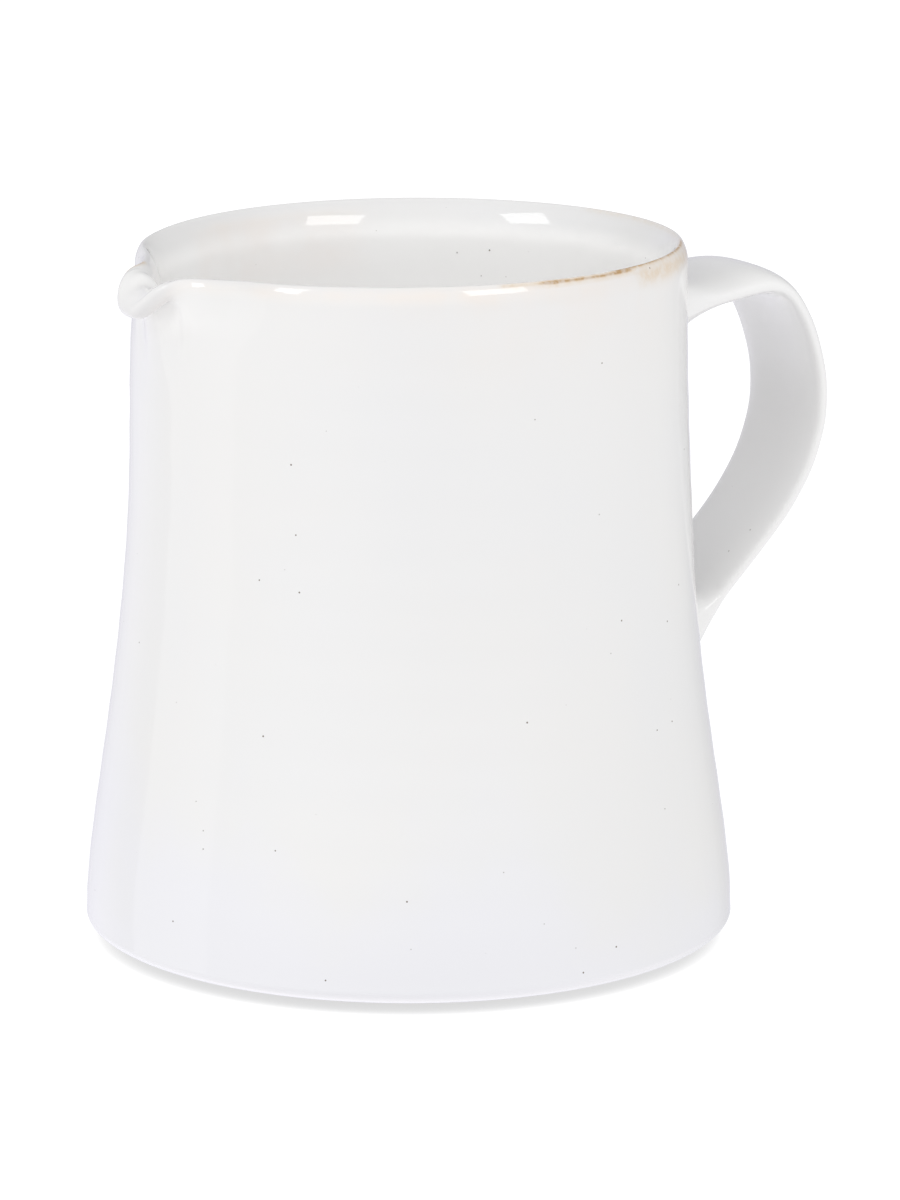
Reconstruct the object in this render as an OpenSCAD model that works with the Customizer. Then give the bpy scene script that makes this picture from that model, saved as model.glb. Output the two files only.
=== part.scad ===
// Ceramic pitcher: a thrown pot with a flared base, a pulled spout and a strap handle.
// Units are millimetres. The origin is the middle of the resting plane, on the pot's axis.
// The spout points along -X, the handle along +X, and +Z is up.

/* [Pot] */
// Height of the rim above the table
height = 175; // [165:1:190]
// Outer radius of the neck, just under the rim
neck_r = 68.4; // [64:0.2:74]
// How far the base flares out past the neck
flare = 12.6; // [8:0.2:16]
// Height over which the flare fades into the neck
flare_h = 64; // [50:1:74]
// Thickness of the lip's rounded edge
lip_t = 2.2; // [1.8:0.1:3]
// How far the outside draws in towards the lip
outer_bevel = 0.9; // [0:0.1:1.2]
// Height over which the outside draws in towards the lip
outer_bevel_h = 3.6; // [2.5:0.1:5]
// Height of the bevel that thins the wall inside the lip
inner_bevel_h = 9.5; // [6:0.5:12]
// Wall thickness at the neck, under the bevels
neck_t = 6.2; // [5.2:0.1:7]
// Wall thickness at the base
base_t = 7.5; // [6:0.1:9]
// Thickness of the floor
floor_t = 5.5; // [4:0.1:7]
// Radius of the corner between the floor and the inside wall
inside_corner_r = 12; // [6:0.5:16]

/* [Foot] */
// Height at which the wall turns under the base
belly_z = 6.3; // [5:0.1:9]
// How far the base draws in below that height
tuck = 20.8; // [14:0.2:24]
// Outer radius of the foot ring
foot_outer_r = 68; // [66:0.5:69]
// Inner radius of the foot ring
foot_inner_r = 58; // [54:0.5:61]
// Height of the foot ring under the pot
foot_h = 1.4; // [1:0.1:2]
// Depth of the hollow underside above the table
recess_z = 3; // [2.2:0.1:4]

/* [Spout] */
// How far the tongue reaches out past the wall's middle
spout_reach = 9; // [6:0.1:12]
// How far the tongue's tip drops below the rim
spout_drop = 6.4; // [3:0.1:7]
// Gentle dip of the rim on both sides of the tongue
spout_dip = 1.7; // [0:0.1:3]
// How far the throat is pinched in beside the tongue, on the -Y side
spout_pinch_near = 2; // [0:0.1:3]
// How far the throat is pinched in beside the tongue, on the +Y side
spout_pinch_far = 2.3; // [0:0.1:3]
// Half of the tongue's width, as an angle about the pot's axis
tongue_deg = 10.1; // [7:0.1:12]
// How far the tongue's end has rolled over from straight up
roll_deg = 145; // [90:1:155]

/* [Handle] */
// Distance from the pot's axis to the route's outermost guide point
handle_reach = 110.5; // [106:0.5:118]
// Height of the strap's upper guide point
handle_top = 159; // [155:0.5:161]
// Height of the strap's lower guide point
handle_low = 70; // [64:0.5:76]
// Strap width at its upper end
strap_top_w = 42; // [36:0.5:46]
// Strap width at its lower end
strap_low_w = 34; // [28:0.5:38]
// Strap thickness at its upper end
strap_top_t = 7.1; // [5.5:0.1:8.5]
// Strap thickness at its lower end
strap_low_t = 5.3; // [4.5:0.1:6.5]
// How far the strap's faces bow outward across its width
strap_bow = 0.9; // [0:0.1:1.5]

/* [Hidden] */

glaze = [0.94, 0.94, 0.95];
bare_clay = [0.80, 0.71, 0.60];

round_fn = 120;

// Pot profile
lip_r = lip_t / 2;
lip_z = height - lip_r;
inner_bevel = neck_t - lip_t - outer_bevel;
inner_slope = 2 * inner_bevel / inner_bevel_h;
outer_slope = 2 * outer_bevel / outer_bevel_h;
flare_power = 1.65;
floor_z = recess_z + floor_t;
wall_steps = 34;
arc_steps = 8;
recess_slope = 3;

// The spout takes the place of a sector of the wall above spout_z
spout_z = height - 37;
spout_half_deg = 44;
spout_cols = 44;
spout_rows = 16;
tongue_power = 3;
roll_extra_deg = 0.5;
drop_deg = 7;
dip_deg = 24;
pinch_deg = 25;
pinch_width_deg = 10.5;
tongue_t = 5;
tongue_pull = 10;
upright_share = 0.8;

// Handle route and section
strap_pts = 24;
strap_rows = 46;
strap_start = 0.6;
strap_end = 6.3;
strap_step = 0.01;
edge_power = 0.6;
face_power = 0.85;
route = [
    [neck_r - 22.4, handle_top - 6],
    [neck_r + 1.1, handle_top - 3.5],
    [handle_reach - 23, handle_top - 0.5],
    [handle_reach - 12, handle_top],
    [handle_reach - 3.5, handle_top - 15],
    [handle_reach, (handle_top + handle_low) / 2 + 10],
    [handle_reach - 8.5, handle_low + 33.5],
    [handle_reach - 25, handle_low + 16.5],
    [handle_reach - 39.5, handle_low],
    [handle_reach - 50.5, handle_low - 18]
];
route_spans = len(route) - 3;

// Joints between the strap and the wall
joint_rows = 7;
cap_shrink = [0.8, 0.6, 0.4, 0.2, 0.05];
leave_pull = 1.5;
land_pull = 0.9;
upper_joint_z = handle_top - 3.6;
upper_oval = [25, 8.5];
lower_joint_z = handle_low + 1.5;
lower_oval = [20.5, 11];

// --- Small helpers ---

function ease(t) =
    let (u = min(max(t, 0), 1))
    u * u * (3 - 2 * u);

function mix(a, b, t) = a + (b - a) * t;

function reversed(list) = [for (i = [len(list) - 1 : -1 : 0]) list[i]];

function signed_pow(v, p) = sign(v) * pow(abs(v), p);

function bezier(p, t) =
    pow(1 - t, 3) * p[0] + 3 * pow(1 - t, 2) * t * p[1]
    + 3 * (1 - t) * t * t * p[2] + pow(t, 3) * p[3];

function bezier_dir(p, t) =
    let (d = pow(1 - t, 2) * (p[1] - p[0]) + 2 * (1 - t) * t * (p[2] - p[1]) + t * t * (p[3] - p[2]))
    d / norm(d);

// Smooth curve guided by the points of p; u runs from 0 to len(p) - 3
function guided(p, u) =
    let (i = min(floor(u), len(p) - 4), t = u - i)
    (pow(1 - t, 3) * p[i] + (3 * pow(t, 3) - 6 * t * t + 4) * p[i + 1]
     + (-3 * pow(t, 3) + 3 * t * t + 3 * t + 1) * p[i + 2] + pow(t, 3) * p[i + 3]) / 6;

// Edge from point a on the outside over the top to point b on the inside; up is the way the clay
// points, and bevelled is 1 where the edge meets both bevels and 0 where there are none
function lip_edge(a, b, up, bevelled) =
    let (
        reach = 2 / 3 * norm(a - b),
        side = bevelled * (a - b) / norm(a - b),
        guide = [a, a + reach * (up - outer_slope * side), b + reach * (up + inner_slope * side), b]
    )
    [for (i = [1 : arc_steps - 1]) bezier(guide, i / arc_steps)];

// Closed solid through a list of rings that all have the same number of points
module skin(rings) {
    m = len(rings[0]);
    n = len(rings);
    sides = [
        for (i = [0 : n - 2], j = [0 : m - 1])
            let (k = (j + 1) % m)
            each [[i * m + j, i * m + k, (i + 1) * m + k], [i * m + j, (i + 1) * m + k, (i + 1) * m + j]]
    ];
    first = [for (j = [m - 1 : -1 : 0]) j];
    last = [for (j = [0 : m - 1]) (n - 1) * m + j];
    polyhedron(points = [for (r = rings) each r], faces = concat(sides, [first, last]), convexity = 8);
}

// --- Pot profile ---

// Share of a bevel's depth that is cut away at z: all of it at the lip, none below its height h
function bevel_at(z, h) = pow(max(1 - max(lip_z - z, 0) / h, 0), 2);

function outer_r(z) =
    neck_r + flare * exp(-pow(max(z - belly_z, 0) / flare_h, flare_power))
    - outer_bevel * bevel_at(z, outer_bevel_h);

function wall_t(z) =
    neck_t + (base_t - neck_t) * pow(1 - min(z, lip_z) / lip_z, 2)
    - outer_bevel * bevel_at(z, outer_bevel_h) - inner_bevel * bevel_at(z, inner_bevel_h);

function inner_r(z) = outer_r(z) - wall_t(z);

function middle_r(z) = outer_r(z) - wall_t(z) / 2;

// The base curves under from the belly to the top of the foot ring
tuck_end = asin((belly_z - foot_h) / belly_z);
tuck_pts = [
    for (i = [0 : arc_steps])
        let (a = tuck_end * (1 - i / arc_steps))
        [outer_r(0) - tuck * (1 - cos(a)), belly_z * (1 - sin(a))]
];
outer_bevel_z = lip_z - outer_bevel_h;
outer_pts = [
    for (i = [1 : wall_steps])
        let (z = mix(belly_z, outer_bevel_z, i / wall_steps))
        [outer_r(z), z]
];
outer_bevel_pts = [
    for (i = [1 : arc_steps])
        let (z = mix(outer_bevel_z, lip_z, i / arc_steps))
        [outer_r(z), z]
];
lip_pts = lip_edge([outer_r(lip_z), lip_z], [inner_r(lip_z), lip_z], [0, 1], 1);
corner_z = floor_z + inside_corner_r;
inner_bevel_z = lip_z - inner_bevel_h;
inner_bevel_pts = [
    for (i = [0 : arc_steps - 1])
        let (z = mix(lip_z, inner_bevel_z, i / arc_steps))
        [inner_r(z), z]
];
inner_pts = [
    for (i = [0 : wall_steps])
        let (z = mix(inner_bevel_z, corner_z, i / wall_steps))
        [inner_r(z), z]
];
corner_pts = [
    for (i = [1 : arc_steps])
        let (a = 90 * i / arc_steps)
        [inner_r(corner_z) - inside_corner_r * (1 - cos(a)), corner_z - inside_corner_r * sin(a)]
];
underside_pts = [
    [0, recess_z],
    [foot_inner_r - recess_slope, recess_z],
    [foot_inner_r, foot_h]
];

module pot() {
    rotate_extrude($fn = round_fn)
        polygon(concat(
            underside_pts, tuck_pts, outer_pts, outer_bevel_pts, lip_pts,
            inner_bevel_pts, inner_pts, corner_pts, [[0, floor_z]]
        ));
}

module spout_sector() {
    far = 2 * neck_r;
    translate([0, 0, spout_z])
        linear_extrude(height = height)
            polygon([[0, 0], [-far, far * tan(spout_half_deg)], [-far, -far * tan(spout_half_deg)]]);
}

// Wall and floor, open where the spout is drawn out of the rim
module body() {
    color(glaze)
        difference() {
            pot();
            spout_sector();
        }
}

// --- Spout ---

// How strongly the spout's shaping acts at an angle from its middle: none at the sector's edges
function spout_fade(deg) = ease((spout_half_deg - abs(deg)) / (spout_half_deg / 2));

function spout_bell(deg, width, power) = exp(-pow(abs(deg) / width, power)) * spout_fade(deg);

function pinch_at(deg) =
    (deg < 0 ? spout_pinch_near : spout_pinch_far)
    * exp(-pow((abs(deg) - pinch_deg) / pinch_width_deg, 2)) * spout_fade(deg);

function tongue_at(deg) = spout_bell(deg, tongue_deg, tongue_power);

// Middle of the lip at an angle, as [radius, height]
function lip_point(deg) = [
    middle_r(lip_z) + spout_reach * tongue_at(deg) - pinch_at(deg),
    lip_z - spout_drop * spout_bell(deg, drop_deg, tongue_power) - spout_dip * spout_bell(deg, dip_deg, 2)
];

// Guide points of the clay's middle line at an angle, from the spout's lower edge to the lip
function spout_guide(deg) =
    let (
        tongue = tongue_at(deg),
        roll = roll_deg * spout_bell(deg, tongue_deg + roll_extra_deg, tongue_power),
        start = [middle_r(lip_z), spout_z],
        end = lip_point(deg),
        rise = end[1] - start[1],
        pull = mix(rise / 3, tongue_pull, tongue)
    )
    [start, start + [0, upright_share * rise], end - pull * [tongue * sin(roll), cos(roll)], end];

// Closed outline of the clay at an angle: up the outside, over the lip and down the inside
function spout_section(deg) =
    let (
        guide = spout_guide(deg),
        tongue = tongue_at(deg),
        steps = [for (i = [0 : spout_rows]) i / spout_rows],
        mid = [
            for (t = steps)
                let (p = bezier(guide, t))
                p + [middle_r(min(p[1], lip_z)) - middle_r(lip_z), 0]
        ],
        side = [for (t = steps) let (d = bezier_dir(guide, t)) [d[1], -d[0]]],
        half = [
            for (i = [0 : spout_rows])
                mix(wall_t(mid[i][1]), tongue_t, tongue * steps[i]) / 2
        ]
    )
    concat(
        [for (i = [0 : spout_rows]) mid[i] + half[i] * side[i]],
        lip_edge(
            mid[spout_rows] + half[spout_rows] * side[spout_rows],
            mid[spout_rows] - half[spout_rows] * side[spout_rows],
            bezier_dir(guide, 1),
            1 - tongue
        ),
        [for (i = [spout_rows : -1 : 0]) mid[i] - half[i] * side[i]]
    );

function spout_ring(deg) = [
    for (p = spout_section(deg))
        [-p[0] * cos(deg), p[0] * sin(deg), p[1]]
];

// Beak pulled out of the wall, with its tongue rolled outward and down
module spout() {
    color(glaze)
        skin([for (i = [0 : spout_cols]) spout_ring(mix(-spout_half_deg, spout_half_deg, i / spout_cols))]);
}

// --- Foot ---

// Bare ring that the pot stands on
module foot_ring() {
    bevel = 0.5;
    color(bare_clay)
        rotate_extrude($fn = round_fn)
            polygon([
                [foot_inner_r + bevel, 0],
                [foot_outer_r - bevel, 0],
                [foot_outer_r, bevel],
                [foot_outer_r, foot_h],
                [foot_inner_r, foot_h],
                [foot_inner_r, bevel]
            ]);
}

// --- Handle ---

// Outline across the strap: [sideways, outward], with rounded edges and gently bowed faces
function strap_section(w, t) = [
    for (k = [0 : strap_pts - 1])
        let (a = 360 * k / strap_pts, side = w / 2 * signed_pow(cos(a), edge_power))
        [side, t / 2 * signed_pow(sin(a), face_power) + strap_bow * (1 - pow(2 * side / w, 2))]
];

function strap_w(u) = mix(strap_low_w, strap_top_w, pow(1 - u / route_spans, 2));

function strap_t(u) = mix(strap_low_t, strap_top_t, pow(1 - u / route_spans, 3));

// Direction along the strap in the X-Z plane
function strap_dir(u) =
    let (d = guided(route, u + strap_step) - guided(route, u - strap_step))
    d / norm(d);

function strap_ring(u) =
    let (p = guided(route, u), d = strap_dir(u), out = [-d[1], d[0]])
    [
        for (s = strap_section(strap_w(u), strap_t(u)))
            [p[0] + s[1] * out[0], s[0], p[1] + s[1] * out[1]]
    ];

// Flat strap of clay bent into an ear
module handle() {
    color(glaze)
        skin([for (i = [0 : strap_rows]) strap_ring(mix(strap_start, strap_end, i / strap_rows))]);
}

// Point on the outside of the wall, from its sideways distance and height
function on_wall(y, z) =
    let (r = outer_r(z))
    [sqrt(r * r - y * y), y, z];

// Fillet of clay from the strap's end ring to an oval on the wall.
// At the strap's first ring the clay runs against the route, at its last ring along it.
module luted_joint(u, wall_z, oval) {
    ring = strap_ring(u);
    starts = u < route_spans / 2;
    toward = (starts ? -1 : 1) * strap_dir(u);
    rise = (starts ? 1 : -1) * oval[1];
    m = len(ring);
    start = guided(route, u);
    gap = abs(start[0] - outer_r(wall_z));
    flat = strap_section(2, 2);
    foot = [for (s = flat) [oval[0] * s[0], rise * (s[1] - strap_bow * (1 - s[0] * s[0]))]];
    rows = [
        for (i = [0 : joint_rows])
            let (
                t = i / joint_rows,
                h00 = (1 + 2 * t) * pow(1 - t, 2),
                h10 = t * pow(1 - t, 2),
                h01 = t * t * (3 - 2 * t),
                h11 = t * t * (t - 1)
            )
            [
                for (j = [0 : m - 1])
                    let (
                        f = foot[j],
                        q = on_wall(f[0], wall_z + f[1]),
                        leave = leave_pull * gap * [toward[0], 0, toward[1]],
                        land = land_pull * gap * [-f[0] * f[0] / q[0], f[0], f[1]] / norm(f)
                    )
                    i == joint_rows ? q : h00 * ring[j] + h10 * leave + h01 * q + h11 * land
            ]
    ];
    cap = [
        for (k = cap_shrink)
            [for (f = foot) on_wall(k * f[0], wall_z + k * f[1])]
    ];
    rings = concat(rows, cap);
    skin(starts ? reversed(rings) : rings);
}

// Clay that joins the strap to the wall under the rim
module handle_upper_joint() {
    color(glaze)
        luted_joint(strap_start, upper_joint_z, upper_oval);
}

// Clay where the strap's tail is pressed onto the wall
module handle_lower_joint() {
    color(glaze)
        luted_joint(strap_end, lower_joint_z, lower_oval);
}

body();
spout();
foot_ring();
handle();
handle_upper_joint();
handle_lower_joint();
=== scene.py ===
"""Looks of the ceramic pitcher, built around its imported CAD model.

Shapes are worked out in millimetres and become metres when a mesh is made. +Z is up, the spout
points along -X and the handle along +X. Angles around the pot are in degrees, from the middle of
the spout, positive towards +Y, which is the side away from the camera.
"""

import math

import bpy
import numpy as np
from mathutils import Matrix, Vector


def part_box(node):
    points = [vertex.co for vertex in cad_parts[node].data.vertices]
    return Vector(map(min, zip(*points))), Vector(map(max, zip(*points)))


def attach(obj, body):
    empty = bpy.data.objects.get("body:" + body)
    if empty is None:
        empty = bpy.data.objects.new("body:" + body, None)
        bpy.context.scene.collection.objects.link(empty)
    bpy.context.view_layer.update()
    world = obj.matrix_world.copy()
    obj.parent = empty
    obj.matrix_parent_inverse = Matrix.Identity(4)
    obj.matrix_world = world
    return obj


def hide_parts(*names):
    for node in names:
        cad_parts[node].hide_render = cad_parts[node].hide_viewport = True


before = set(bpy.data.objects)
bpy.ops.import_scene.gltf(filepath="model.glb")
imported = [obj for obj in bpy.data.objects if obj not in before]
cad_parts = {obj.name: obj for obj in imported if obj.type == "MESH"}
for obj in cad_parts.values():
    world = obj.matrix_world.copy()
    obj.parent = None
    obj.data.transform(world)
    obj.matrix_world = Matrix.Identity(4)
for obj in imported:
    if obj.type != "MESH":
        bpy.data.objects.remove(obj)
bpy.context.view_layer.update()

MM = 0.001
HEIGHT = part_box("body")[1].z / MM

# ---------------------------------------------------------------- values shared with the CAD model

NECK_R, FLARE, FLARE_H, FLARE_POWER = 68.4, 12.6, 64.0, 1.65
LIP_T, NECK_T, BASE_T, FLOOR_T, INSIDE_CORNER_R = 2.2, 6.2, 7.5, 5.5, 12.0
IN_BEVEL_H, OUT_BEVEL_H, OUT_BEVEL = 9.5, 3.6, 0.9
IN_BEVEL = NECK_T - LIP_T - OUT_BEVEL
BELLY_Z, TUCK = 6.3, 20.8
FOOT_OUTER_R, FOOT_INNER_R, FOOT_H, RECESS_Z, RECESS_SLOPE = 68.0, 58.0, 1.4, 3.0, 3.0
LIP_R = LIP_T / 2
LIP_Z = HEIGHT - LIP_R
IN_SLOPE, OUT_SLOPE = 2 * IN_BEVEL / IN_BEVEL_H, 2 * OUT_BEVEL / OUT_BEVEL_H
FLOOR_Z = RECESS_Z + FLOOR_T
RECESS_EDGE = (FOOT_INNER_R - 1.5, 2.3)
TUCK_START_R, CENTRE_R = 72.0, 2.0

SPOUT_Z, SPOUT_HALF = HEIGHT - 37, 44.0
SPOUT_REACH, SPOUT_DROP, SPOUT_DIP, NEAR_PINCH, FAR_PINCH = 9.0, 6.4, 1.7, 2.0, 2.3
TONGUE_W, TONGUE_POWER, DROP_W, DIP_W = 10.1, 3.0, 7.0, 24.0
PINCH_AT, PINCH_W = 25.0, 10.5
ROLL, ROLL_EXTRA, TONGUE_T, TONGUE_PULL, UPRIGHT_SHARE = 145.0, 0.5, 5.0, 10.0, 0.8

HANDLE_REACH, HANDLE_TOP, HANDLE_LOW = 110.5, 159.0, 70.0
STRAP_TOP_W, STRAP_LOW_W, STRAP_TOP_T, STRAP_LOW_T, STRAP_BOW = 42.0, 34.0, 7.1, 5.3, 0.9
STRAP_START, STRAP_END = 0.6, 6.3
EDGE_POWER, FACE_POWER = 0.6, 0.85
LEAVE_PULL, LAND_PULL = 1.5, 0.9
UPPER_JOINT = {"wall_z": HANDLE_TOP - 3.6, "oval": (25.0, 8.5)}
LOWER_JOINT = {"wall_z": HANDLE_LOW + 1.5, "oval": (20.5, 11.0)}
ROUTE = np.array([
    [NECK_R - 22.4, HANDLE_TOP - 6],
    [NECK_R + 1.1, HANDLE_TOP - 3.5],
    [HANDLE_REACH - 23, HANDLE_TOP - 0.5],
    [HANDLE_REACH - 12, HANDLE_TOP],
    [HANDLE_REACH - 3.5, HANDLE_TOP - 15],
    [HANDLE_REACH, (HANDLE_TOP + HANDLE_LOW) / 2 + 10],
    [HANDLE_REACH - 8.5, HANDLE_LOW + 33.5],
    [HANDLE_REACH - 25, HANDLE_LOW + 16.5],
    [HANDLE_REACH - 39.5, HANDLE_LOW],
    [HANDLE_REACH - 50.5, HANDLE_LOW - 18],
])
ROUTE_SPANS = len(ROUTE) - 3

# ---------------------------------------------------------------- what only the looks have

CAMERA = {"heading": 27.5, "pitch": 12.712, "distance": 1565.8, "height": 437.6}
CAMERA_LENS, CAMERA_SENSOR, CAMERA_YAW = 193.33, 36.0, 0.367
RIM_TILT, RIM_TILT_FROM = 0.007, 100.0
DROOP, DROOP_AT, DROOP_W, DROOP_FROM, DROOP_RISE = 1.7, 17.0, 42.0, 120.0, 50.0
LEAN, LEAN_AT, LEAN_W = 0.45, 110.0, 28.0
SOFTEN_AT, SOFTEN_W, SOFTEN_SHARE, SOFTEN_ROUNDS = 19.0, 9.0, 0.9, 24
CREASE, CREASE_Z, CREASE_W, CREASE_FROM_R = 0.34, 7.6, 1.1, 76.0
# Waves round the wall: depth, waves per turn, phase, and the rise that adds one radian to it.
UNEVEN = ((0.16, 2, 0.7, 90.0), (0.10, 3, 2.1, -45.0))
RING_DEPTH, RING_PITCH = 0.035, 1.9
# Waves round the foot ring: share of the radius, waves per turn, and phase.
CHATTER = ((0.0012, 5, 0.4), (0.0008, 11, 2.0))

# ---------------------------------------------------------------- small helpers


def ease(t):
    t = np.clip(t, 0, 1)
    return t * t * (3 - 2 * t)


def mix(a, b, t):
    return a + (b - a) * t


def unit(v):
    return v / np.maximum(np.linalg.norm(v, axis=-1, keepdims=True), 1e-12)


def signed_pow(v, p):
    return np.sign(v) * np.abs(v) ** p


# ---------------------------------------------------------------- the pot's surface


def bevel(z, height):
    """Share of the bevel's depth that is cut away at z: all at the lip, none below its height."""
    return np.maximum(1 - np.maximum(LIP_Z - z, 0) / height, 0) ** 2


def outer_r(z):
    flare = FLARE * np.exp(-((np.maximum(z - BELLY_Z, 0) / FLARE_H) ** FLARE_POWER))
    return NECK_R + flare - OUT_BEVEL * bevel(z, OUT_BEVEL_H)


def wall_t(z):
    low = (1 - np.minimum(z, LIP_Z) / LIP_Z) ** 2
    cut = OUT_BEVEL * bevel(z, OUT_BEVEL_H) + IN_BEVEL * bevel(z, IN_BEVEL_H)
    return NECK_T + (BASE_T - NECK_T) * low - cut


def inner_r(z):
    return outer_r(z) - wall_t(z)


def middle_r(z):
    return outer_r(z) - wall_t(z) / 2


def spout_fade(deg):
    return ease((SPOUT_HALF - np.abs(deg)) / (SPOUT_HALF / 2))


def bell(deg, width, power):
    return np.exp(-((np.abs(deg) / width) ** power)) * spout_fade(deg)


def rim_sections(deg, rows, arc):
    """Outlines [radius, height] of the clay above SPOUT_Z at each angle: up, over the lip, down."""
    tongue = bell(deg, TONGUE_W, TONGUE_POWER)
    pinch = np.exp(-(((np.abs(deg) - PINCH_AT) / PINCH_W) ** 2)) * spout_fade(deg)
    pinch = pinch * np.where(deg < 0, NEAR_PINCH, FAR_PINCH)
    roll = np.radians(ROLL * bell(deg, TONGUE_W + ROLL_EXTRA, TONGUE_POWER))
    rim_r = middle_r(LIP_Z)
    start = np.stack([np.full_like(deg, rim_r), np.full_like(deg, SPOUT_Z)], -1)
    end = np.stack([
        rim_r + SPOUT_REACH * tongue - pinch,
        LIP_Z - SPOUT_DROP * bell(deg, DROP_W, TONGUE_POWER) - SPOUT_DIP * bell(deg, DIP_W, 2.0),
    ], -1)
    rise = end[:, 1] - start[:, 1]
    pull = mix(rise / 3, TONGUE_PULL, tongue)
    bend = start + np.stack([np.zeros_like(deg), UPRIGHT_SHARE * rise], -1)
    hook = end - pull[:, None] * np.stack([tongue * np.sin(roll), np.cos(roll)], -1)
    t = np.linspace(0, 1, rows)[None, :, None]
    p0, p1, p2, p3 = (p[:, None, :] for p in (start, bend, hook, end))
    mid = (1 - t) ** 3 * p0 + 3 * (1 - t) ** 2 * t * p1 + 3 * (1 - t) * t * t * p2 + t**3 * p3
    along = unit((1 - t) ** 2 * (p1 - p0) + 2 * (1 - t) * t * (p2 - p1) + t * t * (p3 - p2))
    side = np.stack([along[..., 1], -along[..., 0]], -1)
    mid[..., 0] += middle_r(np.minimum(mid[..., 1], LIP_Z)) - rim_r
    share = tongue[:, None] * t[..., 0]
    half = (mix(wall_t(mid[..., 1]), TONGUE_T, share) / 2)[..., None]
    out, into = mid + half * side, mid - half * side
    reach = 4 / 3 * half[:, -1:]
    plain = (1 - tongue)[:, None, None]
    a, b = out[:, -1:], into[:, -1:]
    a_pull = a + reach * (along - OUT_SLOPE * plain * side)[:, -1:]
    b_pull = b + reach * (along + IN_SLOPE * plain * side)[:, -1:]
    t = (1 - np.cos(np.linspace(0, math.pi, arc + 2)[1:-1]))[None, :, None] / 2
    cap = (1 - t) ** 3 * a + 3 * (1 - t) ** 2 * t * a_pull + 3 * (1 - t) * t * t * b_pull + t**3 * b
    return np.concatenate([out, cap, into[:, ::-1]], 1)


def lower_outside(rows):
    """Outline from the middle of the underside, under the base and up the wall to SPOUT_Z."""
    under = [(r, RECESS_Z) for r in np.linspace(CENTRE_R, FOOT_INNER_R - RECESS_SLOPE, 8)]
    slope = [RECESS_EDGE, (FOOT_INNER_R, FOOT_H)]
    end = math.asin((BELLY_Z - FOOT_H) / BELLY_Z)
    ring = [(r, FOOT_H) for r in np.linspace(FOOT_INNER_R + 3, TUCK_START_R, 4)]
    tuck = [
        (outer_r(0.0) - TUCK * (1 - math.cos(a)), BELLY_Z * (1 - math.sin(a)))
        for a in np.linspace(end, 0, 26)
    ]
    wall = [(outer_r(z), z) for z in np.linspace(BELLY_Z, SPOUT_Z, rows)[1:-1]]
    return np.array(under + slope + ring + tuck + wall)


def lower_inside(rows):
    """Outline from SPOUT_Z down the inside, round the corner and to the middle of the floor."""
    corner_z = FLOOR_Z + INSIDE_CORNER_R
    wall = [(inner_r(z), z) for z in np.linspace(SPOUT_Z, corner_z, rows)[1:]]
    corner = [
        (inner_r(corner_z) - INSIDE_CORNER_R * (1 - math.cos(a)),
         corner_z - INSIDE_CORNER_R * math.sin(a))
        for a in np.linspace(0, math.pi / 2, 14)[1:]
    ]
    floor = [(r, FLOOR_Z) for r in np.linspace(corner[-1][0], CENTRE_R, 14)[1:]]
    return np.array(wall + corner + floor)


def on_wall(y, z):
    """Point on the outside of the wall towards +X, from its sideways distance and its height."""
    r = outer_r(z)
    return np.stack([np.sqrt(r * r - y * y), y, z], -1)


def wall_normal(p):
    """Direction out of the wall at a point on its outside."""
    step = 0.01
    slope = (outer_r(p[..., 2] + step) - outer_r(p[..., 2] - step)) / (2 * step)
    r = np.hypot(p[..., 0], p[..., 1])
    return unit(np.stack([p[..., 0] / r, p[..., 1] / r, -slope], -1))


def hand_made(p):
    """Moves points as the potter's hand did: a slightly uneven wall, and a rim that isn't level."""
    x, y, z = p[..., 0], p[..., 1], p[..., 2]
    r = np.hypot(x, y)
    a = np.arctan2(y, x)
    heading = math.radians(CAMERA["heading"])
    across = math.cos(heading) * x - math.sin(heading) * y
    off_axis = ease((r - 40) / 25)
    uneven = sum(d * np.sin(n * a + phase + z / rise) for d, n, phase, rise in UNEVEN)
    rings = RING_DEPTH * np.sin(z / RING_PITCH + a) * ease((HEIGHT - z) / 30) * ease(z / 20)
    grow = 1 + (uneven + rings) * off_axis * ease(z / 15) / np.maximum(r, 1)
    crease = CREASE * np.exp(-(((z - CREASE_Z) / CREASE_W) ** 2)) * ease((r - CREASE_FROM_R) / 2)
    grow = grow - crease / np.maximum(r, 1)
    lean = LEAN * np.exp(-(((z - LEAN_AT) / LEAN_W) ** 2)) * off_axis
    tilt = RIM_TILT * across * np.clip((z - RIM_TILT_FROM) / (HEIGHT - RIM_TILT_FROM), 0, 1)
    from_spout = np.degrees(np.arctan2(y, -x))
    droop = DROOP * np.exp(-(((from_spout - DROOP_AT) / DROOP_W) ** 2))
    droop = droop * np.clip((z - DROOP_FROM) / DROOP_RISE, 0, 1) ** 2
    return np.stack([
        x * grow + lean * math.cos(heading), y * grow - lean * math.sin(heading), z + tilt - droop
    ], -1)


# ---------------------------------------------------------------- meshes from grids


def grid_normals(p, closed):
    """Normals of a grid of points whose columns run on axis 0; closed means that axis 0 wraps."""

    def slopes(q, axis, wrap):
        ahead = unit(np.roll(q, -1, axis) - q)
        back = unit(q - np.roll(q, 1, axis))
        if not wrap:
            first = [slice(None)] * 3
            last = [slice(None)] * 3
            first[axis], last[axis] = 0, -1
            back[tuple(first)] = ahead[tuple(first)]
            ahead[tuple(last)] = back[tuple(last)]
        return ahead + back

    return unit(np.cross(slopes(p, 0, closed), slopes(p, 1, False)))


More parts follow.
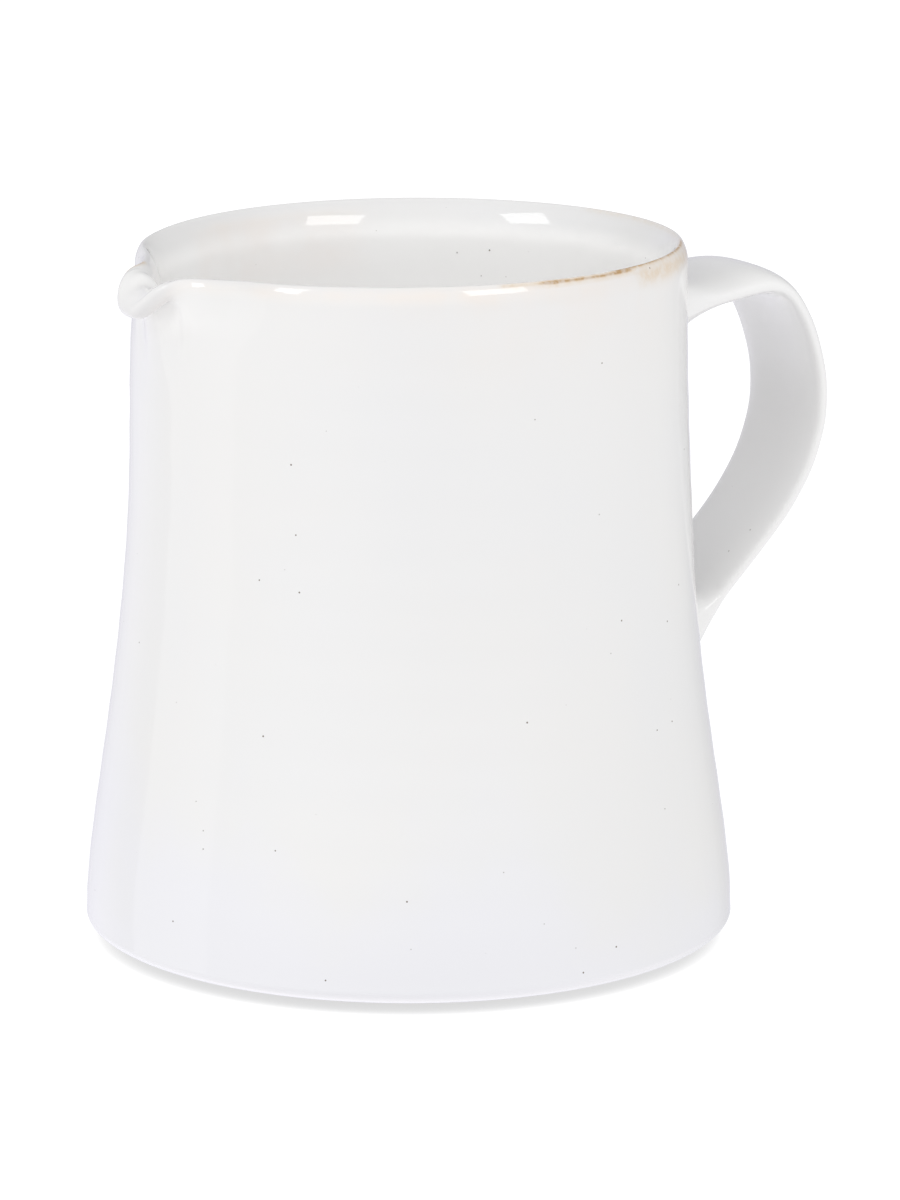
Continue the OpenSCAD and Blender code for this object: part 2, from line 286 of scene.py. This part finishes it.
def make_object(name, points, faces, normals, smooth, material, node, attributes=None):
    """A mesh object in metres with given vertex normals on its smooth faces."""
    used = sorted({v for f in faces for v in f})
    place = {v: i for i, v in enumerate(used)}
    mesh = bpy.data.meshes.new(name)
    mesh.from_pydata(
        [tuple(points[v] * MM) for v in used], [], [tuple(place[v] for v in f) for f in faces]
    )
    mesh.polygons.foreach_set("use_smooth", smooth)
    for label, values in (attributes or {}).items():
        layer = mesh.attributes.new(label, "FLOAT", "POINT")
        layer.data.foreach_set("value", np.asarray(values, np.float32)[used])
    loops = []
    for f, round_face, polygon in zip(faces, smooth, mesh.polygons):
        loops += [tuple(normals[v]) for v in f] if round_face else [tuple(polygon.normal)] * len(f)
    mesh.normals_split_custom_set(loops)
    mesh.materials.append(material)
    obj = bpy.data.objects.new(name, mesh)
    bpy.context.scene.collection.objects.link(obj)
    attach(obj, "root")
    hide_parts(node)


# ---------------------------------------------------------------- materials


def node_tree(name):
    mat = bpy.data.materials.new(name)
    mat.use_nodes = True
    tree = mat.node_tree
    shader = tree.nodes["Principled BSDF"]
    return mat, tree, shader


def add(tree, kind, inputs=None, **settings):
    made = tree.nodes.new(kind)
    for key, value in settings.items():
        setattr(made, key, value)
    for key, value in (inputs or {}).items():
        if isinstance(value, bpy.types.NodeSocket):
            tree.links.new(value, made.inputs[key])
        else:
            made.inputs[key].default_value = value
    return made


def noise(tree, place, scale, detail=3.0, rough=0.5):
    return add(
        tree, "ShaderNodeTexNoise",
        {"Vector": place, "Scale": scale, "Detail": detail, "Roughness": rough},
    ).outputs["Fac"]


def ramp(tree, value, low, high, to_low=0.0, to_high=1.0):
    return add(
        tree, "ShaderNodeMapRange",
        {"Value": value, "From Min": low, "From Max": high, "To Min": to_low, "To Max": to_high},
        interpolation_type="SMOOTHSTEP",
    ).outputs["Result"]


def blend(tree, share, a, b):
    made = add(tree, "ShaderNodeMix", data_type="RGBA")
    for socket, value in zip((made.inputs[0], made.inputs[6], made.inputs[7]), (share, a, b)):
        if isinstance(value, bpy.types.NodeSocket):
            tree.links.new(value, socket)
        else:
            socket.default_value = value
    return made.outputs[2]


def times(tree, a, b):
    return add(tree, "ShaderNodeMath", {0: a, 1: b}, operation="MULTIPLY").outputs[0]


def plus(tree, a, b):
    return add(tree, "ShaderNodeMath", {0: a, 1: b}, operation="ADD").outputs[0]


GLAZE_COOL = (0.826, 0.826, 0.829, 1)
GLAZE_WARM = (0.834, 0.829, 0.823, 1)
# Paler white of the inside, the handle and the clay round the spout: painted light.
GLAZE_PAINTED_LIGHT = (0.985, 0.980, 0.972, 1)
# Darker white on the lip's crest and in the spout's throat: painted shade.
GLAZE_PAINTED_SHADE = (0.780, 0.775, 0.775, 1)
IRON = (0.16, 0.125, 0.10, 1)
BREAK_LIGHT = (0.70, 0.52, 0.31, 1)
BREAK_DARK = (0.46, 0.28, 0.12, 1)
BLUSH = (0.85, 0.79, 0.74, 1)
# The blush inside the pot is paler, as painted light.
BLUSH_INSIDE = (0.965, 0.91, 0.875, 1)
# Bluer white towards the base, up to a wandering height: a painted bluish reflection.
GLAZE_PAINTED_BLUE = (0.826, 0.826, 0.868, 1)
PAINTED_BLUE_UP_TO, PAINTED_BLUE_WANDER, PAINTED_BLUE_SHARE = 0.055, 0.025, 0.75
GLAZE_ROUGH = (0.008, 0.03)
# Specks as cells per metre, share of the cells that have one, and its size.
SPECKS = ((170.0, 0.40, 0.00055), (420.0, 0.02, 0.0004))
CLUSTER_SPECKS = (300.0, 0.95, 0.0006)
CLAY = (0.62, 0.50, 0.38, 1)
CLAY_DARK = (0.47, 0.36, 0.26, 1)


def specks(tree, place, per_metre, share, size):
    """Round dots of about the given size, at a share of the places of a random 3-D lattice."""
    cells = add(
        tree, "ShaderNodeTexVoronoi", {"Vector": place, "Scale": per_metre}, feature="F1"
    )
    pick = add(tree, "ShaderNodeSeparateColor", {"Color": cells.outputs["Color"]}).outputs[0]
    there = ramp(tree, pick, 1 - share, 1 - share + 0.02)
    edge = size / 2 * per_metre
    return times(tree, there, ramp(tree, cells.outputs["Distance"], 0.6 * edge, edge, 1.0, 0.0))


def mark(tree, name):
    """One of the masks that rim_marks works out; it is 0 on meshes without them."""
    return add(tree, "ShaderNodeAttribute", attribute_name=name).outputs["Fac"]


def glaze_white(tree, place, painted_light):
    """The glaze's whites: cloudy, warm under the lip, with painted shade on the lip, painted light
    inside and a painted bluish reflection near the base.
    """
    cloud = ramp(tree, noise(tree, place, scale=22.0), 0.3, 0.7)
    colour = blend(tree, painted_light, blend(tree, cloud, GLAZE_COOL, GLAZE_WARM), GLAZE_PAINTED_LIGHT)
    # Painted light: the inside, and the clay round the spout, turn to the paler white.
    inside = mark(tree, "inside")
    colour = blend(tree, inside, colour, GLAZE_PAINTED_LIGHT)
    # Painted shade: darker white along the lip's crest and in the spout's throat.
    colour = blend(tree, mark(tree, "painted_shade"), colour, GLAZE_PAINTED_SHADE)

    patchy = ramp(tree, noise(tree, place, scale=75.0, detail=4.0), 0.3, 0.7, 0.3, 1.0)
    warm = blend(tree, inside, BLUSH, BLUSH_INSIDE)
    colour = blend(tree, times(tree, mark(tree, "blush"), patchy), colour, warm)

    # Painted reflection: a bluer white towards the base, outside only.
    height = add(tree, "ShaderNodeSeparateXYZ", {"Vector": place}).outputs["Z"]
    wander = noise(tree, place, scale=16.0, detail=4.0)
    wander = ramp(tree, wander, 0.3, 0.7, -PAINTED_BLUE_WANDER, PAINTED_BLUE_WANDER)
    painted_blue = ramp(tree, plus(tree, height, wander), 0.0, PAINTED_BLUE_UP_TO, PAINTED_BLUE_SHARE, 0.0)
    painted_blue = times(tree, painted_blue, ramp(tree, inside, 0.0, 1.0, 1.0, 0.0))
    return blend(tree, painted_blue, colour, GLAZE_PAINTED_BLUE)


def glaze_iron(tree, place, colour):
    """Iron specks over the glaze's white, and brown where the glaze broke on the rim."""
    for kind in SPECKS:
        colour = blend(tree, specks(tree, place, *kind), colour, IRON)
    gathered = times(tree, mark(tree, "cluster"), specks(tree, place, *CLUSTER_SPECKS))
    colour = blend(tree, gathered, colour, IRON)

    breaks = mark(tree, "breaks")
    grain = noise(tree, place, scale=480.0, detail=4.0, rough=0.6)
    share = times(tree, breaks, ramp(tree, grain, 0.36, 0.62, 0.55, 1.0))
    brown = blend(tree, ramp(tree, breaks, 0.5, 1.1), BREAK_LIGHT, BREAK_DARK)
    return blend(tree, share, colour, brown)


def glaze_skin(tree, place):
    """Normal of the glaze's surface: slow waves, and a fine skin on them."""
    waves = noise(tree, place, scale=38.0, detail=1.0)
    low = add(
        tree, "ShaderNodeBump", {"Height": waves, "Strength": 0.35, "Distance": 0.0008}
    ).outputs["Normal"]
    skin = noise(tree, place, scale=420.0, detail=2.0)
    return add(
        tree, "ShaderNodeBump",
        {"Height": skin, "Strength": 0.12, "Distance": 0.00006, "Normal": low},
    ).outputs["Normal"]


def glaze_material(name, painted_light):
    """White gloss glaze; the given share moves it towards the paler white that stands for painted
    light.
    """
    mat, tree, shader = node_tree(name)
    place = add(tree, "ShaderNodeTexCoord").outputs["Object"]
    colour = glaze_iron(tree, place, glaze_white(tree, place, painted_light))
    tree.links.new(colour, shader.inputs["Base Color"])
    rough = noise(tree, place, scale=90.0, detail=2.0)
    tree.links.new(ramp(tree, rough, 0.2, 0.8, *GLAZE_ROUGH), shader.inputs["Roughness"])
    shader.inputs["IOR"].default_value = 1.5
    tree.links.new(glaze_skin(tree, place), shader.inputs["Normal"])
    return mat


def clay_material():
    """Bare stoneware, sanded smooth: sandy colour with fine dark grog."""
    mat, tree, shader = node_tree("bare_clay")
    place = add(tree, "ShaderNodeTexCoord").outputs["Object"]
    grain = noise(tree, place, scale=900.0, detail=5.0, rough=0.65)
    colour = blend(tree, ramp(tree, grain, 0.35, 0.7), CLAY, CLAY_DARK)
    tree.links.new(colour, shader.inputs["Base Color"])
    tree.links.new(ramp(tree, grain, 0.2, 0.8, 0.72, 0.92), shader.inputs["Roughness"])
    bump = add(
        tree, "ShaderNodeBump", {"Height": grain, "Strength": 0.5, "Distance": 0.0003}
    ).outputs["Normal"]
    tree.links.new(bump, shader.inputs["Normal"])
    return mat


# ---------------------------------------------------------------- pot and spout

RIM_ROWS, RIM_ARC, WALL_ROWS, INSIDE_ROWS = 40, 17, 56, 50


def column_angles():
    """Angles round the pot, close together at the tongue; the last step closes the circle."""
    half = np.concatenate([
        np.arange(0, 20, 0.5), np.arange(20, SPOUT_HALF, 1.0), np.linspace(SPOUT_HALF, 180, 76)
    ])
    return np.concatenate([-half[-2:0:-1], half])


def around(deg, at, width):
    """1 at the angle at, falling like a bell on both sides to about a third at width degrees."""
    return np.exp(-((((deg - at + 180) % 360 - 180) / width) ** 2))


def band(deg, start, stop, soft):
    """1 between two angles, fading to 0 over soft degrees outside them."""
    middle, half = (start + stop) / 2, (stop - start) / 2
    away = np.abs((deg - middle + 180) % 360 - 180)
    return ease((half + soft - away) / soft)


# Streaks along the rim: strength, first and last angle, fade in degrees, and their middle and half
# width as distances from the crest along the outline, positive on the inside.
BREAKS = (
    (1.00, -113, -93, 4, -0.9, 0.65),
    (0.60, -93, -83, 3, -0.9, 0.6),
    (0.85, -150, -112, 4, -0.2, 0.6),
    (0.55, -152, -119, 5, -3.0, 2.2),
    (0.80, 5, 13, 3, 0.0, 0.9),
    (0.22, -196, -158, 6, 0.6, 0.8),
)
BLUSHES = (
    (0.60, -80, -12, 10, -2.6, 1.7),
    (0.45, -150, -80, 10, -3.0, 3.0),
)


def rim_marks(deg, rim):
    """Marks along the rim's outlines: breaks, blush, painted shade, the paler inside as painted
    light, a speck cluster.

    Each comes as one value per angle and outline point.
    """
    steps = np.linalg.norm(np.diff(rim, axis=1), axis=-1)
    length = np.concatenate([np.zeros((len(deg), 1)), np.cumsum(steps, 1)], 1)
    crest = length[:, [rim.shape[1] // 2]]
    s = length - crest
    deg = deg[:, None]

    def streaks(table):
        return sum(
            strength * band(deg, start, stop, fade) * np.exp(-(((s - at) / half) ** 2))
            for strength, start, stop, fade, at, half in table
        )

    far_inside = band(deg, 66, 100, 10) * ease((s - 1.5) / 3) * ease((26 - s) / 14)
    near_outside = around(deg, -95, 45) * ease((s + 34) / 26) * (s < 0)
    blush = streaks(BLUSHES) + 0.60 * far_inside + 0.30 * near_outside
    # Painted shade along the lip's crest and in the spout's throat.
    throat = around(deg, 0, 11) * ease((s + 1) / 2) * ease((16 - s) / 6)
    painted_shade = 0.85 * np.exp(-((s / 3.2) ** 2)) + 0.35 * throat
    cluster = around(deg, 135, 7) * ease((s - 10) / 3) * ease((23 - s) / 3)
    # Where the paler white goes as painted light: the inside, and the clay round the spout.
    inside = np.maximum(ease((s - 4) / 6), 0.55 * around(deg, 0, 13) * ease((16 + s) / 6))
    marks = (streaks(BREAKS), blush, painted_shade, inside, cluster)
    return [np.clip(values, 0, 1) for values in marks]


def softened(normals, share):
    """Normals averaged with their neighbours by a share each: softens the spout's inner folds."""
    share = share[..., None]
    for _ in range(SOFTEN_ROUNDS):
        padded = np.pad(normals, ((0, 0), (1, 1), (0, 0)), "edge")
        beside = np.roll(normals, 1, 0) + np.roll(normals, -1, 0)
        mean = (beside + padded[:, :-2] + padded[:, 2:]) / 4
        normals = unit(mix(normals, mean, share))
    return normals


def pot_surface(deg):
    """Grid of points and normals of the whole pot, its masks, and the rim's first and last row."""
    turn = np.radians(deg)
    outside, inside = lower_outside(WALL_ROWS), lower_inside(INSIDE_ROWS)
    rim = rim_sections(deg, RIM_ROWS, RIM_ARC)
    count = len(deg)
    outline = np.concatenate([
        np.repeat(outside[None], count, 0), rim, np.repeat(inside[None], count, 0)
    ], 1)
    points = np.stack([
        -outline[..., 0] * np.cos(turn)[:, None],
        outline[..., 0] * np.sin(turn)[:, None],
        outline[..., 1],
    ], -1)
    points = hand_made(points)
    rows = outline.shape[1]
    below_lip = ease((np.arange(rows) - len(outside) - RIM_ROWS - RIM_ARC) / 6)
    share = SOFTEN_SHARE * np.outer(around(deg, SOFTEN_AT, SOFTEN_W), below_lip)
    normals = softened(-grid_normals(points, True), share)
    first, last = len(outside), len(outside) + rim.shape[1] - 1
    masks = {"breaks": 0.0, "blush": 0.0, "painted_shade": 0.0, "inside": 1.0, "cluster": 0.0}
    for name, marks in zip(masks, rim_marks(deg, rim)):
        values = np.zeros((count, rows))
        values[:, first:last + 1] = marks
        values[:, last + 1:] = masks[name]
        masks[name] = np.append(values, [0, masks[name]])
    return points, normals, masks, first, last


def pot_faces(deg, rows, first, last):
    """Round faces and flat cut faces of body and spout, which share the grid's points.

    After the grid come two more points, in the middle of the underside and of the inside floor.
    """
    count = len(deg)

    def at(i, j):
        return (i % count) * rows + j

    sector = [i for i in range(count) if abs(deg[i]) < SPOUT_HALF + 1e-6]
    left, right = sector[0], sector[-1]
    body, spout = [], []
    for i in range(count):
        in_sector = left <= i < right
        for j in range(rows - 1):
            quad = (at(i, j), at(i, j + 1), at(i + 1, j + 1), at(i + 1, j))
            (spout if in_sector and first <= j < last else body).append(quad)
    centre = count * rows
    for i in range(count):
        body.append((centre, at(i, 0), at(i + 1, 0)))
        body.append((centre + 1, at(i + 1, rows - 1), at(i, rows - 1)))

    body_cut, spout_cut = [], []
    for i in range(left, right):
        cut = (at(i, first), at(i, last), at(i + 1, last), at(i + 1, first))
        spout_cut.append(cut[::-1])
        body_cut.append(cut)
    middle = (first + last) // 2
    for a, b in zip(range(first, middle), range(last, middle, -1)):
        for i, flip in ((left, False), (right, True)):
            cut = (at(i, a), at(i, b), at(i, b - 1), at(i, a + 1))
            cut = cut if b - 1 > a + 1 else cut[:3]
            spout_cut.append(cut if flip else cut[::-1])
            body_cut.append(cut[::-1] if flip else cut)
    return (body, body_cut), (spout, spout_cut)


def build_pot(glaze):
    """Body and spout from one grid of outlines, cut apart round the spout's part of the rim."""
    deg = column_angles()
    points, normals, masks, first, last = pot_surface(deg)
    body, spout = pot_faces(deg, points.shape[1], first, last)
    flat = np.vstack([points.reshape(-1, 3), [[0, 0, RECESS_Z]], [[0, 0, FLOOR_Z]]])
    flat_normals = np.vstack([normals.reshape(-1, 3), [[0, 0, -1]], [[0, 0, 1]]])
    for name, node, (round_faces, cut_faces) in (
        ("pitcher_body", "body", body), ("pitcher_spout", "spout", spout)
    ):
        smooth = [True] * len(round_faces) + [False] * len(cut_faces)
        make_object(name, flat, round_faces + cut_faces, flat_normals, smooth, glaze,
                    node, masks)


# ---------------------------------------------------------------- handle and its joints

STRAP_POINTS, STRAP_ROWS, JOINT_ROWS = 72, 130, 26


def guided(u):
    """Smooth curve guided by ROUTE; u runs from 0 to ROUTE_SPANS."""
    i = np.minimum(np.floor(u).astype(int), len(ROUTE) - 4)
    t = (u - i)[:, None]
    return ((1 - t) ** 3 * ROUTE[i] + (3 * t**3 - 6 * t * t + 4) * ROUTE[i + 1]
            + (-3 * t**3 + 3 * t * t + 3 * t + 1) * ROUTE[i + 2] + t**3 * ROUTE[i + 3]) / 6


def strap_dir(u):
    step = 0.01
    return unit(guided(u + step) - guided(u - step))


def strap_outline(count):
    """Unit shape of the strap's section, as [sideways, outward] at each of its points."""
    a = np.linspace(0, 2 * math.pi, count, endpoint=False)
    return np.stack([signed_pow(np.cos(a), EDGE_POWER), signed_pow(np.sin(a), FACE_POWER)], -1)


def strap_rings(u, shape):
    left = 1 - u / ROUTE_SPANS
    w = mix(STRAP_LOW_W, STRAP_TOP_W, left**2)[:, None]
    t = mix(STRAP_LOW_T, STRAP_TOP_T, left**3)[:, None]
    sideways = w / 2 * shape[None, :, 0]
    outward = t / 2 * shape[None, :, 1] + STRAP_BOW * (1 - shape[None, :, 0] ** 2)
    p, d = guided(u), strap_dir(u)
    return np.stack([
        p[:, :1] - outward * d[:, 1:],
        sideways,
        p[:, 1:] + outward * d[:, :1],
    ], -1)


def joint_rings(u, toward, rise, ring, shape, rows, wall_z, oval):
    """Fillet rings from the strap's end ring to an oval on the wall, the last one on the wall."""
    start = guided(np.array([u]))[0]
    gap = abs(start[0] - outer_r(wall_z))
    foot = np.stack([oval[0] * shape[:, 0], rise * oval[1] * shape[:, 1]], -1)
    land_at = on_wall(foot[:, 0], wall_z + foot[:, 1])
    spread = unit(np.stack([np.zeros(len(foot)), foot[:, 0], foot[:, 1]], -1))
    n = wall_normal(land_at)
    spread = unit(spread - (spread * n).sum(-1, keepdims=True) * n)
    leave = LEAVE_PULL * gap * np.array([toward[0], 0, toward[1]])
    t = np.linspace(0, 1, rows + 1)[1:, None, None]
    rings = ((1 + 2 * t) * (1 - t) ** 2 * ring + t * (1 - t) ** 2 * leave
             + t * t * (3 - 2 * t) * land_at + t * t * (t - 1) * LAND_PULL * gap * spread)
    return rings, n


def solid_from_rings(name, points, normals, lo, hi, glaze, node):
    """Closed solid of the rings lo to hi, with a flat fan over each end."""
    m = points.shape[1]
    flat = points[lo:hi + 1].reshape(-1, 3)
    flat_normals = normals[lo:hi + 1].reshape(-1, 3)
    rings = hi - lo + 1
    faces = []
    for i in range(rings - 1):
        for j in range(m):
            k = (j + 1) % m
            faces.append((i * m + j, i * m + k, (i + 1) * m + k, (i + 1) * m + j))
    rounds = len(faces)
    ends = len(flat)
    flat = np.vstack([flat, flat[:m].mean(0), flat[-m:].mean(0)])
    flat_normals = np.vstack([flat_normals, [[0, 0, 1]], [[0, 0, 1]]])
    for j in range(m):
        k = (j + 1) % m
        faces.append((ends, k, j))
        faces.append((ends + 1, (rings - 1) * m + j, (rings - 1) * m + k))
    smooth = [k < rounds for k in range(len(faces))]
    make_object(name, flat, faces, flat_normals, smooth, glaze, node)


def build_handle(glaze):
    """Strap and its two joints from one run of rings, so that they meet without a step."""
    shape = strap_outline(STRAP_POINTS)
    u = np.linspace(STRAP_START, STRAP_END, STRAP_ROWS)
    strap = strap_rings(u, shape)
    upper, upper_n = joint_rings(
        STRAP_START, -strap_dir(u[:1])[0], 1, strap[0], shape, JOINT_ROWS, **UPPER_JOINT
    )
    lower, lower_n = joint_rings(
        STRAP_END, strap_dir(u[-1:])[0], -1, strap[-1], shape, JOINT_ROWS, **LOWER_JOINT
    )
    rings = hand_made(np.concatenate([upper[::-1], strap, lower]))
    normals = grid_normals(rings.transpose(1, 0, 2), True).transpose(1, 0, 2)
    middle = len(rings) // 2
    outward = rings[middle] - rings[middle].mean(0)
    if (normals[middle] * outward).sum() < 0:
        normals = -normals
    normals[0], normals[-1] = upper_n, lower_n
    first, last = JOINT_ROWS, JOINT_ROWS + len(u) - 1
    solid_from_rings("handle_upper_joint_glazed", rings, normals, 0, first, glaze,
                     "handle_upper_joint")
    solid_from_rings("handle_strap", rings, normals, first, last, glaze, "handle")
    solid_from_rings("handle_lower_joint_glazed", rings, normals, last, len(rings) - 1, glaze,
                     "handle_lower_joint")


# ---------------------------------------------------------------- foot ring

FOOT_COLUMNS, FOOT_ROUNDING = 180, 0.6


def build_foot(clay):
    """Bare turned ring with softly rounded edges."""
    edge = FOOT_ROUNDING
    corners = [(FOOT_INNER_R + edge, edge, math.pi, 1.5 * math.pi),
               (FOOT_OUTER_R - edge, edge, 1.5 * math.pi, 2 * math.pi)]
    outline = [(FOOT_INNER_R, FOOT_H)]
    for r, z, a0, a1 in corners:
        outline += [(r + edge * math.cos(a), z + edge * math.sin(a))
                    for a in np.linspace(a0, a1, 6)]
    outline += [(FOOT_OUTER_R, FOOT_H)]
    outline = np.array(outline)
    turn = np.linspace(0, 2 * math.pi, FOOT_COLUMNS, endpoint=False)
    chatter = 1 + sum(share * np.sin(n * turn + phase) for share, n, phase in CHATTER)
    radius = outline[None, :, 0] * chatter[:, None]
    points = np.stack([
        radius * np.cos(turn)[:, None],
        radius * np.sin(turn)[:, None],
        np.repeat(outline[None, :, 1], len(turn), 0),
    ], -1)
    normals = grid_normals(points, True)
    rows = len(outline)
    if normals[0, rows // 2, 2] > 0:
        normals = -normals
    count = len(turn)
    faces = [(i * rows + j, (i + 1) % count * rows + j, (i + 1) % count * rows + j + 1,
              i * rows + j + 1) for i in range(count) for j in range(rows - 1)]
    rounds = len(faces)
    faces += [(i * rows, i * rows + rows - 1, (i + 1) % count * rows + rows - 1,
               (i + 1) % count * rows) for i in range(count)]
    smooth = [k < rounds for k in range(len(faces))]
    make_object("foot_ring_clay", points.reshape(-1, 3), faces, normals.reshape(-1, 3), smooth,
                clay, "foot_ring")


# ---------------------------------------------------------------- studio

FLOOR_SIZE, FLOOR_GREY = 6.0, (0.14, 0.14, 0.14, 1)
CONTACT_REACH, GLOW_AT_CONTACT, GLOW_IN_OPEN = 0.026, 0.58, 0.97


def floor_material():
    """Floor that glows white towards the camera alone, and less so close to the pot, as a painted
    contact shadow.
    """
    mat, tree, shader = node_tree("studio_floor")
    shader.inputs["Base Color"].default_value = FLOOR_GREY
    shader.inputs["Emission Color"].default_value = (1, 1, 1, 1)
    contact = add(tree, "ShaderNodeAmbientOcclusion", {"Distance": CONTACT_REACH}).outputs["AO"]
    seen = add(tree, "ShaderNodeLightPath").outputs["Is Camera Ray"]
    glow = times(tree, ramp(tree, contact, 0.0, 0.5, GLOW_AT_CONTACT, GLOW_IN_OPEN), seen)
    tree.links.new(glow, shader.inputs["Emission Strength"])
    shader.inputs["Roughness"].default_value = 0.9
    shader.inputs["Specular IOR Level"].default_value = 0.1
    return mat


# Soft light of the room: an even part, and lobes as side angle, height angle, cosine where the
# lobe starts, and strength. Sides are counted to the camera's right from where it stands.
SKY_EVEN = 0.155
SKY_LOBES = (
    (0, -90, 0.0, 1.00),
    (-90, 10, 0.0, 0.42),
    (90, 10, 0.0, 0.49),
    (180, 10, 0.0, 0.19),
    (-163, -12, 0.70, 0.32),
    (0, 45, 0.2, 0.47),
    (-45, 25, 0.3, 0.31),
    (45, 25, 0.3, 0.19),
)
SKY_COLOUR = (1, 1, 1, 1)
SKY_COLOUR_BEHIND, SKY_BEHIND = (0.96, 0.95, 1.05, 1), (-163, -12, 0.6)
SKY_COLOUR_BELOW, SKY_BELOW = (1.0, 0.99, 1.005, 1), (0, -90, 0.2)
# Lights as name, side angle, height angle, distance and size in metres, and how bright they look.
LIGHTS = (
    ("soft_box_right", 38, 37, 1.5, (0.60, 0.38), 3.9),
    ("soft_box_left", -62, 37, 1.5, (0.52, 0.38), 3.9),
    ("panel_left", -92, -2, 1.1, (0.75, 0.9), 0.3),
)


def direction(side, lift):
    """Unit vector at an angle to the camera's right of where it stands, and a height angle."""
    turn, lift = math.radians(CAMERA["heading"] + 180 - side), math.radians(lift)
    return Vector((math.sin(turn) * math.cos(lift), math.cos(turn) * math.cos(lift), math.sin(lift)))


def build_floor():
    """A wide floor that only the camera sees."""
    size = FLOOR_SIZE
    mesh = bpy.data.meshes.new("studio_floor")
    mesh.from_pydata(
        [(-size, -size, 0), (size, -size, 0), (size, size, 0), (-size, size, 0)], [], [(0, 1, 2, 3)]
    )
    mesh.materials.append(floor_material())
    floor = bpy.data.objects.new("studio_floor", mesh)
    bpy.context.scene.collection.objects.link(floor)
    floor.visible_diffuse = False
    floor.visible_glossy = False
    floor.visible_shadow = False


def build_world():
    """Light of the room that reaches the pot softly from all sides."""
    world = bpy.data.worlds.new("studio")
    world.use_nodes = True
    tree = world.node_tree
    way = add(tree, "ShaderNodeTexCoord").outputs["Generated"]

    def facing(side, lift, start):
        """0 to 1 towards a direction, from the given cosine on."""
        towards = add(
            tree, "ShaderNodeVectorMath", {0: way, 1: tuple(direction(side, lift))},
            operation="DOT_PRODUCT",
        ).outputs["Value"]
        return ramp(tree, towards, start, 1.0)

    sky = tree.nodes["Background"]
    tint = blend(tree, facing(*SKY_BEHIND), SKY_COLOUR, SKY_COLOUR_BEHIND)
    tint = blend(tree, facing(*SKY_BELOW), tint, SKY_COLOUR_BELOW)
    tree.links.new(tint, sky.inputs["Color"])
    total = SKY_EVEN
    for side, lift, start, glow in SKY_LOBES:
        total = plus(tree, total, times(tree, facing(side, lift, start), glow))
    tree.links.new(total, sky.inputs["Strength"])
    bpy.context.scene.world = world


def area_light(name, place, aim, size, watts):
    data = bpy.data.lights.new(name, "AREA")
    data.shape = "RECTANGLE"
    data.size, data.size_y = size
    data.energy = watts
    lamp = bpy.data.objects.new(name, data)
    bpy.context.scene.collection.objects.link(lamp)
    lamp.location = place
    lamp.rotation_euler = (aim - place).to_track_quat("-Z", "Y").to_euler()


def build_lights():
    """Soft boxes, placed by their side and height angles and their distance."""
    aim = Vector((0, 0, HEIGHT * MM / 2))
    for name, side, lift, away, size, glow in LIGHTS:
        place = aim + away * direction(side, lift)
        area_light(name, place, aim, size, glow * math.pi * size[0] * size[1])


def build_camera():
    heading, pitch = math.radians(CAMERA["heading"]), math.radians(CAMERA["pitch"])
    ahead = Vector((math.sin(heading), math.cos(heading), 0))
    look = ahead * math.cos(pitch) - Vector((0, 0, math.sin(pitch)))
    right = look.cross(Vector((0, 0, 1))).normalized()
    up = right.cross(look)
    turn = Matrix((right, up, -look)).transposed().to_4x4()
    data = bpy.data.cameras.new("camera")
    data.lens = CAMERA_LENS
    data.sensor_width = CAMERA_SENSOR
    data.clip_start, data.clip_end = 0.05, 50.0
    cam = bpy.data.objects.new("camera", data)
    bpy.context.scene.collection.objects.link(cam)
    place = -ahead * CAMERA["distance"] * MM + Vector((0, 0, CAMERA["height"] * MM))
    cam.matrix_world = (
        Matrix.Translation(place) @ turn @ Matrix.Rotation(-math.radians(CAMERA_YAW), 4, "Y")
    )
    bpy.context.scene.camera = cam


# ---------------------------------------------------------------- all of it

glaze = glaze_material("white_glaze", 0.0)
# The handle's glaze is moved a share towards the paler white, as painted light.
handle_glaze_painted_light = glaze_material("handle_glaze_painted_light", 0.3)
clay = clay_material()
build_pot(glaze)
build_handle(handle_glaze_painted_light)
build_foot(clay)
build_floor()
build_world()
build_lights()
build_camera()

bpy.context.scene.view_settings.view_transform = "Standard"
